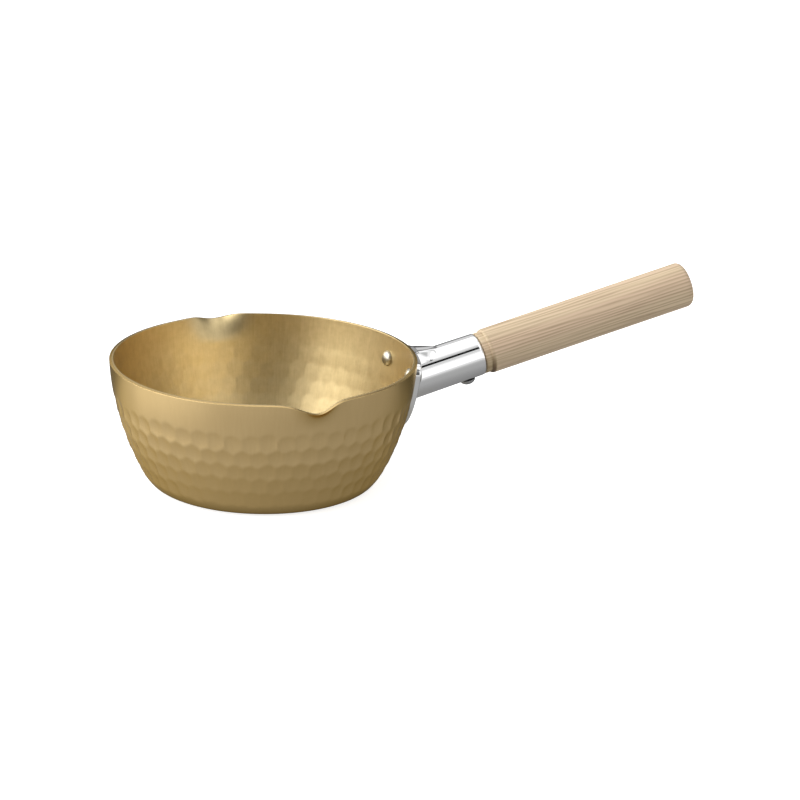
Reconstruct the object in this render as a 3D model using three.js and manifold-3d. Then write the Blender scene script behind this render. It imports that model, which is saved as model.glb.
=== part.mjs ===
// A yukihira pan: a hammered aluminium bowl with two pouring lips, and a wooden handle in a riveted socket.
// Millimetres, +Z up. The origin is the middle of the bowl's base, and the handle points along +X.
import * as THREE from 'three';
import { mergeVertices } from 'three/addons/utils/BufferGeometryUtils.js';
import Module from 'manifold-3d';

const radians = THREE.MathUtils.degToRad;

// Bowl: the outer wall is three arcs that run into each other, from the rim down to the flat base.
const RIM_RADIUS = 92.5;
const BOWL_HEIGHT = 76.4;
const WALL = 2.5;
const RIM_ROUND = 0.3;
const RIM_LEAN = radians(3.15);
const SIDE_LEAN = radians(26.9);
const HIP_LEAN = radians(41);
const HIP_RADIUS = 42.7;
const CORNER_RADIUS = 9.4;

// Pouring lips, one at each side of the handle: how far they stand out and dip, and how soon they fade.
const LIP_REACH = 7.4;
const LIP_DROP = 4;
const LIP_SPREAD = 10;
const NOTCH_SPREAD = 7.4;
const LIP_DEPTH = 18;

// Hammer marks: staggered rows of shallow six-sided hollows, measured down the wall from the rim.
const MARK_ROWS = 5;
const MARKS_PER_ROW = 54;
const FIRST_ROW = 24.8;
const ROW_PITCH = 10.2;
const MARK_DEPTH = 0.5;
const INNER_MARK_DEPTH = 0.12;

// Socket: a plate against the wall, a tapered tube and a flat-topped web above the tube's root.
// The plate's upper corners and its crown are measured down the wall from the rim.
const SEAT_GAP = 0.3;
const SOCKET_DEPTH = 22.1;
const HANDLE_PITCH = radians(13.6);
const PLATE_THICKNESS = 3.2;
const PLATE_ROUND = 1.2;
const PLATE_SPAN = 58;
const PLATE_CORNER_RADIUS = 6.5;
const PLATE_CORNER_DEPTH = 4.4;
const PLATE_CROWN_RADIUS = 9;
const PLATE_CROWN_DEPTH = 1.7;
const PLATE_LOBE_RADIUS = 20.5;
const PLATE_LOBE_DROP = 6;
const PLATE_LOBE_SPREAD = 13;
const TUBE_LENGTH = 51;
const TUBE_ROOT_RADIUS = 13.6;
const TUBE_MOUTH_RADIUS = 13.1;
const TUBE_WALL = 1.7;
const TUBE_FLOOR = 9;
const MOUTH_ROUND = 1.5;
const WEB_LENGTH = 26;
const WEB_FALL = 1.4;
const WEB_WIDTH = 16.4;
const WEB_FULLNESS = 1.6;
const WEB_DRAFT = radians(18);
const WEB_EDGE = 0.8;

// Rivets: two beside the tube, set in from the plate's sides, and one under it.
const RIVET_INSET = 10;
const RIVET_RISE = 8;
const LOWER_RIVET_DROP = 20;
const SHANK_RADIUS = 2.4;
const HEAD_RADIUS = 4.4;
const HEAD_HEIGHT = 1.6;
const HOLE_CLEARANCE = 0.2;

// Wooden handle: tenon, neck, a rounded shoulder and the grip.
const TENON_LENGTH = 36;
const TENON_CHAMFER = 0.5;
const NECK_LENGTH = 5.9;
const NECK_INSET = 0.3;
const GRIP_LENGTH = 136.8;
const GRIP_START_RADIUS = 13.95;
const GRIP_END_RADIUS = 14.15;
const SHOULDER_LENGTH = 2.2;
const GRIP_END_ROUND = 3.6;
const GRIP_END_DOME = 1.1;

// Screw under the tube, through its wall into the tenon.
const SCREW_FROM_MOUTH = 10.5;
const SCREW_HEAD_RADIUS = 4.9;
const SCREW_HEAD_HEIGHT = 3.5;
const SCREW_RADIUS = 1.8;
const SCREW_POINT = 3.6;
const SCREW_LENGTH = 14;

// Facets: the bowl has two columns a mark, drawn closer together at the lips.
const COLUMNS = 2 * MARKS_PER_ROW;
const LIP_CROWDING = 0.25;
const TUBE_SIDES = 44;
const WOOD_SIDES = 36;
const RIVET_SIDES = 18;
const SCREW_SIDES = 20;
const HEAD_STEPS = 4;
const OUTLINE_POINTS = 60;
const WALL_STEPS = 24;
const WEB_STEPS = 8;

const wasm = await Module();
wasm.setup();

// Solids: a closed geometry becomes a manifold, and a manifold a geometry again.

function solidOf(geometry) {
  const bare = geometry.clone();
  bare.deleteAttribute('normal');
  bare.deleteAttribute('uv');
  const merged = mergeVertices(bare, 1e-4);
  const corners = merged.index.array;
  const kept = [];
  for (let i = 0; i < corners.length; i += 3) {
    const [a, b, c] = corners.slice(i, i + 3);
    if (a !== b && b !== c && c !== a) kept.push(a, b, c);
  }
  const vertProperties = Float32Array.from(merged.attributes.position.array);
  return new wasm.Manifold(new wasm.Mesh({ numProp: 3, vertProperties, triVerts: Uint32Array.from(kept) }));
}

function geometryOf(solid) {
  const mesh = solid.getMesh();
  const geometry = new THREE.BufferGeometry();
  geometry.setAttribute('position', new THREE.BufferAttribute(Float32Array.from(mesh.vertProperties), 3));
  geometry.setIndex(new THREE.BufferAttribute(Uint32Array.from(mesh.triVerts), 1));
  geometry.computeVertexNormals();
  return geometry;
}

// A closed skin over rings of points: place(column, ring) gives each point, poles included.
function skin(columns, rings, place) {
  const geometry = new THREE.LatheGeometry(rings.map((_, row) => new THREE.Vector2(1, row)), columns);
  const position = geometry.attributes.position;
  for (let i = 0; i < position.count; i += 1) {
    const column = Math.floor(i / rings.length) % columns;
    position.setXYZ(i, ...place(column, rings[i % rings.length]).toArray());
  }
  return geometry;
}

// A body turned about the local X axis from pairs of distance along the axis and radius.
function turned(profile, sides) {
  const points = profile.map(([along, radius]) => new THREE.Vector2(radius, along));
  return new THREE.LatheGeometry(points, sides).rotateZ(-Math.PI / 2);
}

// A quarter of an ellipse as pairs, from its end on the first direction to its end on the second.
function quarterArc(along, radius, alongReach, radiusReach, steps, towardAxis) {
  return Array.from({ length: steps + 1 }, (_, i) => {
    const angle = (Math.PI / 2) * (towardAxis ? i / steps : 1 - i / steps);
    return [along + alongReach * Math.sin(angle), radius + radiusReach * Math.cos(angle)];
  });
}

// The bowl's outer wall, followed from the rim by its length

const sideRadius = (BOWL_HEIGHT
  - HIP_RADIUS * (Math.sin(HIP_LEAN) - Math.sin(SIDE_LEAN))
  - CORNER_RADIUS * (1 - Math.sin(HIP_LEAN))) / (Math.sin(SIDE_LEAN) - Math.sin(RIM_LEAN));
const wallArcs = [
  { radius: sideRadius, from: RIM_LEAN, to: SIDE_LEAN },
  { radius: HIP_RADIUS, from: SIDE_LEAN, to: HIP_LEAN },
  { radius: CORNER_RADIUS, from: HIP_LEAN, to: Math.PI / 2 },
];
const wallLength = wallArcs.reduce((sum, arc) => sum + arc.radius * (arc.to - arc.from), 0);
const baseRadius = wallArcs.reduce(
  (radius, arc) => radius - arc.radius * (Math.cos(arc.from) - Math.cos(arc.to)), RIM_RADIUS);

function wallAt(depth) {
  let radius = RIM_RADIUS;
  let height = BOWL_HEIGHT;
  let left = depth;
  for (const arc of wallArcs) {
    const lean = arc.from + Math.min(left / arc.radius, arc.to - arc.from);
    radius -= arc.radius * (Math.cos(arc.from) - Math.cos(lean));
    height -= arc.radius * (Math.sin(lean) - Math.sin(arc.from));
    left -= arc.radius * (lean - arc.from);
    if (left <= 1e-9) return { radius, height, lean };
  }
  return { radius: radius - left, height: 0, lean: Math.PI / 2 };
}

// The bowl

const marksTop = FIRST_ROW - ROW_PITCH / 2;
const marksEnd = marksTop + MARK_ROWS * ROW_PITCH;

function spaced(from, to, steps) {
  return Array.from({ length: steps }, (_, i) => from + ((to - from) * i) / steps);
}

// Rings down one side of the wall, from just under the rim to the middle of the base.
function wallRings({ inset, markDepth, plainSteps, cornerSteps }) {
  const rings = spaced(RIM_ROUND, marksTop, plainSteps).map((depth) => ({ depth, inset }));
  for (let row = 0; row < MARK_ROWS; row += 1) {
    const parity = row % 2 === 0 ? 1 : -1;
    const top = marksTop + row * ROW_PITCH;
    rings.push({ depth: top, inset, zigzag: -parity });
    rings.push({ depth: top + ROW_PITCH / 2, inset, centres: parity, markDepth });
  }
  rings.push({ depth: marksEnd, inset, zigzag: MARK_ROWS % 2 === 0 ? -1 : 1 });
  const cornerTop = marksEnd + (wallLength - marksEnd) / (cornerSteps + 1);
  rings.push(...spaced(cornerTop, wallLength, cornerSteps).map((depth) => ({ depth, inset })));
  rings.push({ depth: wallLength, inset }, { depth: wallLength + baseRadius, inset });
  return rings;
}

function bowlPoint(column, ring) {
  const stagger = column % 2 === 0 ? 1 : -1;
  const even = (2 * Math.PI * column) / COLUMNS;
  const crowding = LIP_CROWDING * Math.max(0, 1 - ring.depth / marksTop);
  const azimuth = even + crowding * Math.sin(2 * even);
  const wall = wallAt(ring.depth + (stagger * (ring.zigzag ?? 0) * ROW_PITCH) / 6);
  const inset = ring.inset + (ring.centres === stagger ? ring.markDepth : 0);
  const fade = Math.max(0, 1 - ring.depth / LIP_DEPTH) ** 2;
  const fromLip = RIM_RADIUS * Math.acos(Math.min(1, Math.abs(Math.sin(azimuth))));
  const reach = LIP_REACH * fade * Math.exp(-((fromLip / LIP_SPREAD) ** 2) / 2);
  const drop = LIP_DROP * fade * Math.exp(-((fromLip / NOTCH_SPREAD) ** 2) / 2);
  const radius = wall.radius - inset * Math.cos(wall.lean) + reach;
  const height = wall.height + inset * Math.sin(wall.lean) - drop;
  return new THREE.Vector3(radius * Math.cos(azimuth), radius * Math.sin(azimuth), height);
}

function bowlBody() {
  const soften = RIM_ROUND * (1 - Math.SQRT1_2);
  const rimRings = [
    { depth: soften, inset: soften },
    { depth: 0, inset: RIM_ROUND },
    { depth: 0, inset: WALL - RIM_ROUND },
    { depth: soften, inset: WALL - soften },
  ];
  const outside = wallRings({ inset: 0, markDepth: MARK_DEPTH, plainSteps: 5, cornerSteps: 4 });
  const inside = wallRings({ inset: WALL, markDepth: INNER_MARK_DEPTH, plainSteps: 3, cornerSteps: 2 });
  return skin(COLUMNS, [...outside.reverse(), ...rimRings, ...inside], bowlPoint);
}

// The place of the socket: its axis meets the wall at the anchor, and u and v run along and up the wall.

const anchor = wallAt(SOCKET_DEPTH);
const anchorPoint = new THREE.Vector3(anchor.radius, 0, anchor.height);

function onWall(u, v, lift) {
  const wall = wallAt(SOCKET_DEPTH - v);
  const azimuth = u / anchor.radius;
  const radius = wall.radius + lift * Math.cos(wall.lean);
  return new THREE.Vector3(
    radius * Math.cos(azimuth), radius * Math.sin(azimuth), wall.height - lift * Math.sin(wall.lean));
}

const handleFrame = new THREE.Matrix4()
  .makeRotationY(-HANDLE_PITCH)
  .setPosition(anchorPoint);

const rivetReach = PLATE_SPAN / 2 - RIVET_INSET;
const rivetPlaces = [
  { name: 'rivet_upper_left', u: rivetReach, v: RIVET_RISE },
  { name: 'rivet_upper_right', u: -rivetReach, v: RIVET_RISE },
  { name: 'rivet_lower', u: 0, v: -LOWER_RIVET_DROP },
];

// Turns a body made along +X to stand on the wall at a rivet's place, with the wall's outer face at zero.
function standOnWall({ u, v }) {
  const foot = onWall(u, v, 0);
  const outward = onWall(u, v, 1).sub(foot).normalize();
  const turn = new THREE.Quaternion().setFromUnitVectors(new THREE.Vector3(1, 0, 0), outward);
  return new THREE.Matrix4().compose(foot, turn, new THREE.Vector3(1, 1, 1));
}

const plateOuter = SEAT_GAP + PLATE_THICKNESS;

function rivetHole(place) {
  const reach = WALL + plateOuter + HEAD_HEIGHT;
  const radius = SHANK_RADIUS + HOLE_CLEARANCE;
  const drill = turned([[-reach, 0], [-reach, radius], [reach, radius], [reach, 0]], RIVET_SIDES);
  return solidOf(drill.applyMatrix4(standOnWall(place)));
}

// The socket

function tubeRadius(along) {
  return TUBE_ROOT_RADIUS + ((TUBE_MOUTH_RADIUS - TUBE_ROOT_RADIUS) * along) / TUBE_LENGTH;
}

// The plate's outline is a taut band round five discs: two upper corners, the crown and two lower lobes.
function plateOutline(inset) {
  const cornerReach = PLATE_SPAN / 2 - PLATE_CORNER_RADIUS;
  const cornerRise = SOCKET_DEPTH - PLATE_CORNER_DEPTH - PLATE_CORNER_RADIUS;
  const crownRise = SOCKET_DEPTH - PLATE_CROWN_DEPTH - PLATE_CROWN_RADIUS;
  const discs = [
    { u: cornerReach, v: cornerRise, radius: PLATE_CORNER_RADIUS },
    { u: -cornerReach, v: cornerRise, radius: PLATE_CORNER_RADIUS },
    { u: 0, v: crownRise, radius: PLATE_CROWN_RADIUS },
    { u: PLATE_LOBE_SPREAD / 2, v: -PLATE_LOBE_DROP, radius: PLATE_LOBE_RADIUS },
    { u: -PLATE_LOBE_SPREAD / 2, v: -PLATE_LOBE_DROP, radius: PLATE_LOBE_RADIUS },
  ];
  const band = [];
  for (let i = 0; i < 4 * OUTLINE_POINTS; i += 1) {
    const angle = (2 * Math.PI * i) / (4 * OUTLINE_POINTS);
    const reach = (disc) => disc.u * Math.cos(angle) + disc.v * Math.sin(angle) + disc.radius;
    const outer = discs.reduce((best, disc) => (reach(disc) > reach(best) ? disc : best));
    const radius = outer.radius - inset;
    band.push(new THREE.Vector2(outer.u + radius * Math.cos(angle), outer.v + radius * Math.sin(angle)));
  }
  const path = new THREE.Path(band);
  path.closePath();
  return path.getSpacedPoints(OUTLINE_POINTS);
}

function plateBody() {
  const full = plateOutline(0);
  const soft = PLATE_ROUND * (1 - Math.SQRT1_2);
  const softened = plateOutline(soft);
  const drawnIn = plateOutline(PLATE_ROUND);
  const back = [0, 1 / 3, 2 / 3, 1].map((share) => ({ outline: full, share, lift: SEAT_GAP }));
  const front = [1, 2 / 3, 1 / 3, 0].map((share) => ({ outline: drawnIn, share, lift: plateOuter }));
  const edge = [
    { outline: full, share: 1, lift: plateOuter - PLATE_ROUND },
    { outline: softened, share: 1, lift: plateOuter - soft },
  ];
  return skin(OUTLINE_POINTS, [...back, ...edge, ...front], (column, ring) => {
    const { x, y } = ring.outline[column];
    return onWall(x * ring.share, y * ring.share, ring.lift);
  });
}

// The filled space inside the wall, grown by a margin: what the tube's root is cut back to.
function wallFilled(margin) {
  const above = BOWL_HEIGHT + TUBE_LENGTH;
  const profile = [new THREE.Vector2(0, -margin)];
  for (let i = 0; i <= WALL_STEPS; i += 1) {
    const wall = wallAt(wallLength * (1 - i / WALL_STEPS));
    profile.push(new THREE.Vector2(
      wall.radius + margin * Math.cos(wall.lean), wall.height - margin * Math.sin(wall.lean)));
  }
  profile.push(new THREE.Vector2(RIM_RADIUS + margin, above), new THREE.Vector2(0, above));
  return solidOf(new THREE.LatheGeometry(profile, 4 * TUBE_SIDES).rotateX(Math.PI / 2));
}

const boreRadius = TUBE_MOUTH_RADIUS - TUBE_WALL;

function tubeBody() {
  const root = -TUBE_ROOT_RADIUS;
  const roundStart = TUBE_LENGTH - MOUTH_ROUND;
  return turned([
    [root, 0],
    [root, tubeRadius(root)],
    ...quarterArc(roundStart, TUBE_MOUTH_RADIUS - MOUTH_ROUND, MOUTH_ROUND, MOUTH_ROUND, 3, true),
    [TUBE_LENGTH, boreRadius],
    [TUBE_FLOOR, boreRadius],
    [TUBE_FLOOR, 0],
  ], TUBE_SIDES).applyMatrix4(handleFrame);
}

// The web's top runs straight from the plate's face, a little lower there, to its tip on the tube's top.
const webTip = new THREE.Vector3(WEB_LENGTH, 0, tubeRadius(WEB_LENGTH));
const webTipHeight = webTip.clone().applyMatrix4(handleFrame).z;
const webRoot = new THREE.Vector3(anchor.radius + plateOuter, 0, webTipHeight - WEB_FALL)
  .applyMatrix4(handleFrame.clone().invert());

// A section across the web: its foot in the tube's wall, its sloping flank and its flat top.
function webPoint(column, { along, closed }) {
  const share = (along - webRoot.x) / (webTip.x - webRoot.x);
  const top = THREE.MathUtils.lerp(webRoot.z, webTip.z, share);
  if (closed) return new THREE.Vector3(along, 0, top - TUBE_ROOT_RADIUS / 2);
  const edge = Math.max(0, (WEB_WIDTH / 2) * (1 - Math.max(0, share) ** WEB_FULLNESS));
  const slope = Math.tan(WEB_DRAFT);
  const section = [
    [edge + TUBE_ROOT_RADIUS * slope, TUBE_ROOT_RADIUS],
    [edge + WEB_EDGE * slope, WEB_EDGE],
    [Math.max(0, edge - WEB_EDGE), 0],
  ];
  const [across, below] = column < 3 ? section[column] : section[5 - column];
  return new THREE.Vector3(along, column < 3 ? across : -across, top - below);
}

function webBody() {
  const end = WEB_LENGTH + WEB_EDGE;
  const stations = [...spaced(0, end, WEB_STEPS), end].map((along) => ({ along }));
  const rings = [{ along: 0, closed: true }, ...stations, { along: end, closed: true }];
  return skin(6, rings, webPoint).applyMatrix4(handleFrame);
}

function screwHole() {
  const radius = SCREW_RADIUS + SEAT_GAP;
  const reach = TUBE_MOUTH_RADIUS + SCREW_LENGTH;
  const drill = turned([[-SEAT_GAP, 0], [-SEAT_GAP, radius], [reach, radius], [reach, 0]], SCREW_SIDES);
  return drill.rotateY(Math.PI / 2).translate(TUBE_LENGTH - SCREW_FROM_MOUTH, 0, 0);
}

function boreSpace() {
  const end = 2 * TUBE_LENGTH;
  return turned([[TUBE_FLOOR, 0], [TUBE_FLOOR, boreRadius], [end, boreRadius], [end, 0]], TUBE_SIDES)
    .applyMatrix4(handleFrame);
}

function socketBody() {
  const inPlate = wallFilled(SEAT_GAP + PLATE_THICKNESS / 2);
  const root = solidOf(tubeBody()).add(solidOf(webBody()).subtract(solidOf(boreSpace())));
  let socket = root.subtract(inPlate).add(solidOf(plateBody()));
  for (const place of rivetPlaces) socket = socket.subtract(rivetHole(place));
  return socket.subtract(solidOf(screwHole().applyMatrix4(handleFrame)));
}

// Rivets, along +X from the inner head's top to the outer head's top

function domedHead(seat, height, radius) {
  return quarterArc(seat, 0, height, radius, HEAD_STEPS, true);
}

function rivetBody() {
  const innerSeat = -WALL - INNER_MARK_DEPTH - SEAT_GAP / 2;
  const outerSeat = plateOuter + SEAT_GAP;
  return turned([
    ...domedHead(innerSeat, -HEAD_HEIGHT, HEAD_RADIUS).reverse(),
    [innerSeat, SHANK_RADIUS],
    [outerSeat, SHANK_RADIUS],
    ...domedHead(outerSeat, HEAD_HEIGHT, HEAD_RADIUS),
  ], RIVET_SIDES);
}

// Wooden handle and its screw, along +X from the socket's anchor

const neckStart = TUBE_LENGTH + SEAT_GAP;
const gripStart = neckStart + NECK_LENGTH;
const gripEnd = gripStart + GRIP_LENGTH;
const screwSeat = tubeRadius(TUBE_LENGTH - SCREW_FROM_MOUTH) + SEAT_GAP;

function woodBody() {
  const tenonRadius = boreRadius - SEAT_GAP;
  const tenonEnd = TUBE_LENGTH - TENON_LENGTH;
  const neckRadius = TUBE_MOUTH_RADIUS - NECK_INSET;
  const roundStart = gripEnd - GRIP_END_DOME - GRIP_END_ROUND;
  const faceRadius = GRIP_END_RADIUS - GRIP_END_ROUND;
  const profile = [
    [tenonEnd, 0],
    [tenonEnd, tenonRadius - TENON_CHAMFER],
    [tenonEnd + TENON_CHAMFER, tenonRadius],
    [neckStart, tenonRadius],
    [neckStart, neckRadius],
    ...quarterArc(gripStart, neckRadius, -SHOULDER_LENGTH, GRIP_START_RADIUS - neckRadius, 4, false),
    ...quarterArc(roundStart, faceRadius, GRIP_END_ROUND, GRIP_END_ROUND, 5, true),
    [gripEnd - GRIP_END_DOME / 4, faceRadius / 2],
    [gripEnd, 0],
  ];
  return turned(profile, WOOD_SIDES);
}

function screwBody() {
  const tip = screwSeat - SCREW_LENGTH;
  return turned([
    [tip, 0],
    [tip + SCREW_POINT, SCREW_RADIUS],
    [screwSeat, SCREW_RADIUS],
    ...domedHead(screwSeat, SCREW_HEAD_HEIGHT, SCREW_HEAD_RADIUS),
  ], SCREW_SIDES).rotateY(Math.PI / 2);
}

// The pan

const goldAluminium = { color: 0xc2a163, roughness: 0.38, metalness: 0.9 };
const polishedAluminium = { color: 0xdcdde0, roughness: 0.12, metalness: 1 };
const paleWood = { color: 0xcdb08a, roughness: 0.6, metalness: 0 };
const steel = { color: 0xb4b5b8, roughness: 0.25, metalness: 1 };

function piece(name, geometry, finish) {
  const mesh = new THREE.Mesh(geometry, new THREE.MeshStandardMaterial(finish));
  mesh.name = name;
  return mesh;
}

const pan = new THREE.Group();
pan.name = 'yukihira_pan';

let bowl = solidOf(bowlBody());
for (const place of rivetPlaces) bowl = bowl.subtract(rivetHole(place));
pan.add(piece('pan_bowl', geometryOf(bowl), goldAluminium));
pan.add(piece('handle_socket', geometryOf(socketBody()), polishedAluminium));

for (const place of rivetPlaces) {
  const rivet = piece(place.name, geometryOf(solidOf(rivetBody())), polishedAluminium);
  rivet.applyMatrix4(standOnWall(place));
  pan.add(rivet);
}

const handle = new THREE.Group();
handle.applyMatrix4(handleFrame);
const wood = solidOf(woodBody()).subtract(solidOf(screwHole()));
handle.add(piece('wooden_handle', geometryOf(wood), paleWood));
const screw = piece('handle_screw', geometryOf(solidOf(screwBody())), steel);
screw.position.x = TUBE_LENGTH - SCREW_FROM_MOUTH;
handle.add(screw);
pan.add(handle);

export default pan;
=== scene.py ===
# A yukihira pan: a hammered gold bowl with two pouring lips, and a wooden handle in a polished riveted
# socket. Metres, +Z up: the middle of the bowl's base is the origin and the handle points along +X.
from math import acos, atan2, cos, hypot, pi, radians, sin, tan

import bmesh
import bpy
from mathutils import Matrix, Vector


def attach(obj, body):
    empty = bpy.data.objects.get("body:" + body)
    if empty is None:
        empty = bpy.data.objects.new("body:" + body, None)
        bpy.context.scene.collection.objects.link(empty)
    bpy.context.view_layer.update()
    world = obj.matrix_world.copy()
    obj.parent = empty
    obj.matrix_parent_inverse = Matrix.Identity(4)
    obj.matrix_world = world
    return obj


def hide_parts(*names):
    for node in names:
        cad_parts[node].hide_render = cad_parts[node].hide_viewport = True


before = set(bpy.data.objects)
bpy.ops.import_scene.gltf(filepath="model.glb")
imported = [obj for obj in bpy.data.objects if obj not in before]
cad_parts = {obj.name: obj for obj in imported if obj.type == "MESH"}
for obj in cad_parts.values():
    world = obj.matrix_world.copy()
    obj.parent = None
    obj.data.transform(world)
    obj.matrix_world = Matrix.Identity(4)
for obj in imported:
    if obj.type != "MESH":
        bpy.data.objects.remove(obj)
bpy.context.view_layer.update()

MM = 0.001

# Bowl: three arcs from the rim down to the flat base.
RIM_RADIUS = 92.5 * MM
BOWL_HEIGHT = 76.4 * MM
WALL = 2.5 * MM
RIM_ROUND = 0.12 * MM
RIM_RISE = 0.35 * MM
RIM_LEAN = radians(3.15)
SIDE_LEAN = radians(26.9)
HIP_LEAN = radians(41)
HIP_RADIUS = 42.7 * MM
CORNER_RADIUS = 9.4 * MM

# Pouring lips.
LIP_REACH = 7.4 * MM
LIP_DROP = 4 * MM
LIP_SPREAD = 10 * MM
NOTCH_SPREAD = 7.4 * MM
LIP_DEPTH = 18 * MM

# Hammer marks, measured down the wall from the rim.
MARK_ROWS = 5
MARKS_PER_ROW = 54
FIRST_ROW = 24.8 * MM
ROW_PITCH = 10.2 * MM
MARK_RADIUS = 6.4 * MM
MARK_DEPTH = 0.85 * MM
INNER_MARK_DEPTH = 0.1 * MM
MARK_UNEVENNESS = 0.22
MARK_SEED = 7
CUSP_ROUND = 0.03

# How finely the bowl is drawn.
COLUMNS_PER_MARK = 10
STEPS_PER_MARK = 9
BAND_STEP = 1.5 * MM
HIP_STEP = 1.2 * MM
BASE_RINGS = 8
RIM_STEPS = 4
MERGE_DISTANCE = 0.002 * MM

# Socket.
SEAT_GAP = 0.3 * MM
SOCKET_DEPTH = 22.1 * MM
HANDLE_PITCH = radians(13.6)
PLATE_THICKNESS = 3.2 * MM
PLATE_ROUND = 1.2 * MM
PLATE_LOBE_RADIUS = 20.5 * MM
PLATE_LOBE_DROP = 6 * MM
PLATE_LOBE_SPREAD = 13 * MM
PLATE_SPAN = 58 * MM
PLATE_CORNER_RADIUS = 6.5 * MM
PLATE_CORNER_DEPTH = 4.4 * MM
PLATE_CROWN_RADIUS = 9 * MM
PLATE_CROWN_DEPTH = 1.7 * MM
TUBE_LENGTH = 51 * MM
TUBE_ROOT_RADIUS = 13.6 * MM
TUBE_MOUTH_RADIUS = 13.1 * MM
TUBE_WALL = 1.7 * MM
TUBE_FLOOR = 9 * MM
MOUTH_ROUND = 1.5 * MM
ROOT_FILLET = 1.5 * MM
WEB_LENGTH = 26 * MM
WEB_FALL = -0.5 * MM
WEB_WIDTH = 13 * MM
WEB_FULLNESS = 2.2
WEB_EDGE = 0.8 * MM
WEB_CROWN = 40 * MM
WEB_SPREAD = radians(45)

# How finely the socket is drawn: its columns crowd towards the web, with a close pair at each foot of it.
SOCKET_COLUMNS = 180
WEB_CROWDING = 0.35
WEB_CREASE = radians(0.2)
OUTLINE_STEPS = 720
TUBE_STEPS = 44
FILLET_STEPS = 24
FILLET_POINTS = 20
EDGE_STEPS = 4
LEAST_STEP = 0.02 * MM

# Rivets.
RIVET_INSET = 10 * MM
RIVET_RISE = 8 * MM
LOWER_RIVET_DROP = 20 * MM
SHANK_RADIUS = 2.4 * MM
HEAD_RADIUS = 4.4 * MM
HEAD_HEIGHT = 1.6 * MM
INNER_HEAD_RADIUS = 4.7 * MM
INNER_HEAD_HEIGHT = 2.6 * MM
HEAD_STEPS = 10
RIVET_SIDES = 48

# Wooden handle.
TENON_LENGTH = 36 * MM
NECK_LENGTH = 5.9 * MM
NECK_INSET = 0.3 * MM
WOOD_EASE = 0.3 * MM
GRIP_LENGTH = 136.8 * MM
GRIP_START_RADIUS = 13.95 * MM
GRIP_END_RADIUS = 14.15 * MM
SHOULDER_LENGTH = 2.2 * MM
GRIP_END_ROUND = 3.6 * MM
GRIP_END_DOME = 1.1 * MM
RING_PITCH = 2.1 * MM
SHOULDER_STEPS = 8
GRIP_END_STEPS = 12
WOOD_SIDES = 128

# Screw under the tube, with a cross recess in its head.
SCREW_FROM_MOUTH = 10.5 * MM
SCREW_HEAD_RADIUS = 4.9 * MM
SCREW_HEAD_HEIGHT = 3.5 * MM
SCREW_RADIUS = 1.8 * MM
SCREW_LENGTH = 14 * MM
DRIVE_REACH = 2.4 * MM
DRIVE_WIDTH = 0.9 * MM
DRIVE_DEPTH = 1.3 * MM
SCREW_HEAD_STEPS = 14
SCREW_SIDES = 64

# Edges that turn more than this are shaded sharp.
SHARP_EDGE = radians(35)
SHARP_WOOD_EDGE = radians(50)

# Camera: the photograph's frame, and the pixel where it shows the middle of the bowl's axis.
PHOTO_PIXELS = 800
AIM_PIXEL = (262.98, 418.42)
LENS = 163.9
SENSOR = 36
CAMERA_DISTANCE = 2.2
CAMERA_REACH = 50
CAMERA_AZIMUTH = radians(-21)
CAMERA_ELEVATION = radians(18.26)
CAMERA_ROLL = radians(1.262)

# Studio: how bright each soft panel is, and the unlit gap that shows as a dark line on the tube, in degrees.
STUDIO_FILL = 0.1
LEFT_BOX = 3.55
RIGHT_BOX = 1.05
TOP_BOX = 1.1
BACKDROP = 0.55
REAR_BOX = 0.8
FRONT_BOX = 0.22
GAP_LOW = 48
GAP_HIGH = 59
GAP_SHADE = 0.47

# Floor: its level in the metal under the pan (a painted shadow of the pan), the painted shade and light added
# or taken away elsewhere (darker behind, painted light on the left, a painted contact shadow at the base),
# its level, slope and curve from right to left (painted light, brighter to the left), and its size.
FLOOR_UNDER = 0.24
FLOOR_NEAR = 0.12
FLOOR_FAR = 0.3
FLOOR_BEHIND = 0.7
FLOOR_LEFT = 0.3
FLOOR_CONTACT_SHADOW = 0.75
FLOOR_LEFTWARDS = (1.42, 0.43, 0.1)
FLOOR_COLOUR = 0.6
FLOOR_WHITE = 0.8
FLOOR_HALF = 6
FLOOR_DROP = 0.2 * MM


# Node trees

class Wire:
    """An output socket: arithmetic on wires adds Math nodes, and make adds any other node."""

    def __init__(self, tree, socket):
        self.tree = tree
        self.socket = socket

    @classmethod
    def make(cls, tree, kind, settings=None, inputs=None, output=0):
        node = tree.nodes.new(kind)
        for name, value in (settings or {}).items():
            setattr(node, name, value)
        for key, value in (inputs or {}).items():
            if isinstance(value, Wire):
                tree.links.new(value.socket, node.inputs[key])
            else:
                node.inputs[key].default_value = value
        return cls(tree, node.outputs[output]) if len(node.outputs) else None

    @classmethod
    def reckon(cls, tree, operation, *values):
        """A Math node on wires or numbers."""
        return cls.make(tree, "ShaderNodeMath", {"operation": operation}, dict(enumerate(values)))

    def math(self, operation, *others):
        return Wire.reckon(self.tree, operation, self, *others)

    def vector(self, operation, *others, output=0):
        inputs = dict(enumerate((self, *others)))
        return Wire.make(self.tree, "ShaderNodeVectorMath", {"operation": operation}, inputs, output)

    def dot(self, other):
        return self.vector("DOT_PRODUCT", other, output="Value")

    def part(self, axis):
        return Wire.make(self.tree, "ShaderNodeSeparateXYZ", {}, {0: self}, axis)

    def __add__(self, other):
        return self.math("ADD", other)

    def __sub__(self, other):
        return self.math("SUBTRACT", other)

    def __rsub__(self, other):
        return Wire.reckon(self.tree, "SUBTRACT", other, self)

    def __mul__(self, other):
        return self.math("MULTIPLY", other)

    def __truediv__(self, other):
        return self.math("DIVIDE", other)

    def __rtruediv__(self, other):
        return Wire.reckon(self.tree, "DIVIDE", other, self)

    def __pow__(self, other):
        return self.math("POWER", other)

    __radd__ = __add__
    __rmul__ = __mul__


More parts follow.
